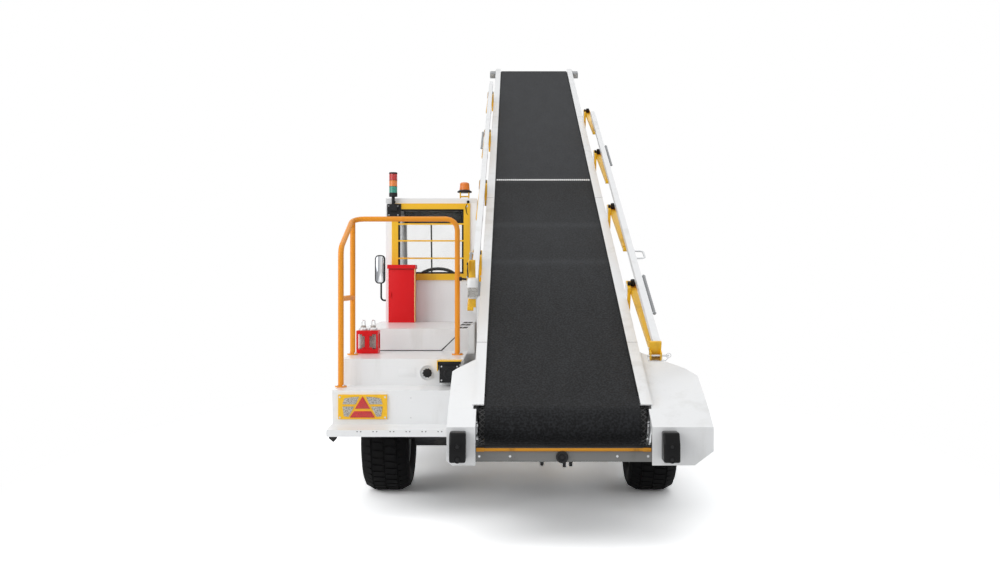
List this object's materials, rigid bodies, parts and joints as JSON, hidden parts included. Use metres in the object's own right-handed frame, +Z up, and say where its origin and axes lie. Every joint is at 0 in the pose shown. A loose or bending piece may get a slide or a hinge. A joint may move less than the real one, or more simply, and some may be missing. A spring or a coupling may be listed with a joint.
{
  "type": "baggage belt loader",
  "caption": "Self-propelled baggage belt loader: a long tilting belt conveyor on a small truck with a side cab, a stepped deck and folding guard rails.",
  "frame": {"origin": "on the ground, under the middle of the whole machine's bounding box", "axes": "+X to the vehicle's right, +Y to its front and the conveyor's raised head, +Z up"},
  "size_m": [2.274, 8.2703, 3.9682],
  "materials": {
    "white_paint": "gloss",
    "yellow_paint": "satin",
    "orange_paint": "gloss",
    "red_paint": "gloss",
    "dark_steel": "matte",
    "bright_steel": "satin",
    "black_plastic": "matte",
    "rubber": "matte",
    "tyre": "matte",
    "belt": "matte",
    "glass": "clear",
    "amber_lens": "clear"
  },
  "bodies": {
    "chassis": {"chassis_frame": "dark_steel", "rear_axle": "dark_steel", "front_axle_beam": "dark_steel", "step_body": "white_paint", "right_body": "white_paint", "front_hood": "white_paint", "cab_floor": "dark_steel", "cab_rear_wall": "white_paint", "cab_right_side": "white_paint", "cab_front": "white_paint", "windscreen": "glass", "right_window": "glass", "rear_window": "glass", "cab_roof": "white_paint", "rear_window_frame": "yellow_paint", "seat": "black_plastic", "dashboard": "black_plastic", "handrail": "orange_paint", "extinguisher_box": "red_paint", "lantern_holder": "red_paint", "stack_light": "black_plastic", "beacon": "amber_lens", "left_mirror": "black_plastic", "tail_lamp": "yellow_paint", "socket_box": "black_plastic", "engine_block": "dark_steel"},
    "door": {"cab_door": "white_paint", "door_window": "glass"},
    "steering_left": {"knuckle_left": "dark_steel"},
    "steering_right": {"knuckle_right": "dark_steel"},
    "wheel_front_left": {"tyre_front_left": "tyre", "rim_front_left": "white_paint"},
    "wheel_front_right": {"tyre_front_right": "tyre", "rim_front_right": "white_paint"},
    "wheel_rear_left": {"tyre_rear_left": "tyre", "rim_rear_left": "white_paint"},
    "wheel_rear_right": {"tyre_rear_right": "tyre", "rim_rear_right": "white_paint"},
    "conveyor": {"belt": "belt", "tail_drum": "rubber", "head_drum": "rubber", "side_frame_left": "white_paint", "side_frame_right": "white_paint", "rubber_block_left": "rubber", "rubber_block_right": "rubber", "slider_bed": "bright_steel", "underframe": "dark_steel", "tail_beam": "white_paint"},
    "lift_barrels": {"lift_barrels": "yellow_paint"},
    "lift_rods": {"lift_rods": "bright_steel"},
    "arm_left_1": {"arm_left_1": "yellow_paint"},
    "arm_left_2": {"arm_left_2": "yellow_paint"},
    "arm_left_3": {"arm_left_3": "yellow_paint"},
    "arm_left_4": {"arm_left_4": "yellow_paint"},
    "guard_rail_left": {"guard_rail_left": "white_paint"},
    "arm_right_1": {"arm_right_1": "yellow_paint"},
    "arm_right_2": {"arm_right_2": "yellow_paint"},
    "arm_right_3": {"arm_right_3": "yellow_paint"},
    "arm_right_4": {"arm_right_4": "yellow_paint"},
    "guard_rail_right": {"guard_rail_right": "white_paint"}
  },
  "joints": [
    {"name": "door_hinge", "type": "hinge", "parent": "chassis", "child": "door", "pos_m": [-0.977, 0.098, 1.3], "axis": [0, 0, -1], "range_deg": [0, 75]},
    {"name": "steering_left_kingpin", "type": "hinge", "parent": "chassis", "child": "steering_left", "pos_m": [-0.585, 0.65, 0.35], "axis": [0, 0, 1], "range_deg": [-30, 30]},
    {"name": "steering_right_kingpin", "type": "hinge", "parent": "chassis", "child": "steering_right", "pos_m": [0.735, 0.65, 0.35], "axis": [0, 0, 1], "range_deg": [-30, 30]},
    {"name": "wheel_front_left_spin", "type": "hinge", "parent": "steering_left", "child": "wheel_front_left", "pos_m": [-0.765, 0.65, 0.35], "axis": [1, 0, 0], "continuous": true},
    {"name": "wheel_front_right_spin", "type": "hinge", "parent": "steering_right", "child": "wheel_front_right", "pos_m": [0.915, 0.65, 0.35], "axis": [1, 0, 0], "continuous": true},
    {"name": "wheel_rear_left_spin", "type": "hinge", "parent": "chassis", "child": "wheel_rear_left", "pos_m": [-0.765, -2.37, 0.35], "axis": [1, 0, 0], "continuous": true},
    {"name": "wheel_rear_right_spin", "type": "hinge", "parent": "chassis", "child": "wheel_rear_right", "pos_m": [0.915, -2.37, 0.35], "axis": [1, 0, 0], "continuous": true},
    {"name": "conveyor_tilt", "type": "hinge", "parent": "chassis", "child": "conveyor", "pos_m": [0.29, -3.05, 0.62], "axis": [1, 0, 0], "range_deg": [-21, 3]},
    {"name": "lift_barrels_trunnion", "type": "hinge", "parent": "chassis", "child": "lift_barrels", "pos_m": [0.29, -1.9, 0.45], "axis": [1, 0, 0], "range_deg": [-30.6, 4.4]},
    {"name": "lift_rods_slide", "type": "slide", "parent": "lift_barrels", "child": "lift_rods", "axis": [0, 0.8021, 0.5972], "range_m": [-0.214, 0.031]},
    {"name": "arm_left_1_pivot", "type": "hinge", "parent": "conveyor", "child": "arm_left_1", "pos_m": [-0.2175, -2.0446, 1.4951], "axis": [-1, 0, 0], "range_deg": [0, 85]},
    {"name": "arm_left_2_pivot", "type": "hinge", "parent": "conveyor", "child": "arm_left_2", "pos_m": [-0.2175, -0.5446, 2.1134], "axis": [-1, 0, 0], "range_deg": [0, 85]},
    {"name": "arm_left_3_pivot", "type": "hinge", "parent": "conveyor", "child": "arm_left_3", "pos_m": [-0.2175, 0.9555, 2.7317], "axis": [-1, 0, 0], "range_deg": [0, 85]},
    {"name": "arm_left_4_pivot", "type": "hinge", "parent": "conveyor", "child": "arm_left_4", "pos_m": [-0.2175, 2.4556, 3.35], "axis": [-1, 0, 0], "range_deg": [0, 85]},
    {"name": "guard_rail_left_pin", "type": "hinge", "parent": "arm_left_1", "child": "guard_rail_left", "pos_m": [-0.2175, -2.9968, 1.1895], "axis": [-1, 0, 0], "range_deg": [-85, 0]},
    {"name": "arm_right_1_pivot", "type": "hinge", "parent": "conveyor", "child": "arm_right_1", "pos_m": [0.7975, -2.5504, 1.2867], "axis": [-1, 0, 0], "range_deg": [0, 85]},
    {"name": "arm_right_2_pivot", "type": "hinge", "parent": "conveyor", "child": "arm_right_2", "pos_m": [0.7975, -1.1321, 1.8713], "axis": [-1, 0, 0], "range_deg": [0, 85]},
    {"name": "arm_right_3_pivot", "type": "hinge", "parent": "conveyor", "child": "arm_right_3", "pos_m": [0.7975, 0.2861, 2.4558], "axis": [-1, 0, 0], "range_deg": [0, 85]},
    {"name": "arm_right_4_pivot", "type": "hinge", "parent": "conveyor", "child": "arm_right_4", "pos_m": [0.7975, 1.7044, 3.0404], "axis": [-1, 0, 0], "range_deg": [0, 85]},
    {"name": "guard_rail_right_pin", "type": "hinge", "parent": "arm_right_1", "child": "guard_rail_right", "pos_m": [0.7975, -3.5025, 0.981], "axis": [-1, 0, 0], "range_deg": [-85, 0]}
  ],
  "couplings": [
    {"joint": "steering_right_kingpin", "follows": "steering_left_kingpin", "ratio": 1},
    {"joint": "lift_barrels_trunnion", "follows": "conveyor_tilt", "ratio": 1.442},
    {"joint": "lift_rods_slide", "follows": "conveyor_tilt", "m_per_rad": 0.5788},
    {"joint": "arm_left_2_pivot", "follows": "arm_left_1_pivot", "ratio": 1},
    {"joint": "arm_left_3_pivot", "follows": "arm_left_1_pivot", "ratio": 1},
    {"joint": "arm_left_4_pivot", "follows": "arm_left_1_pivot", "ratio": 1},
    {"joint": "guard_rail_left_pin", "follows": "arm_left_1_pivot", "ratio": -1},
    {"joint": "arm_right_2_pivot", "follows": "arm_right_1_pivot", "ratio": 1},
    {"joint": "arm_right_3_pivot", "follows": "arm_right_1_pivot", "ratio": 1},
    {"joint": "arm_right_4_pivot", "follows": "arm_right_1_pivot", "ratio": 1},
    {"joint": "guard_rail_right_pin", "follows": "arm_right_1_pivot", "ratio": -1}
  ]
}
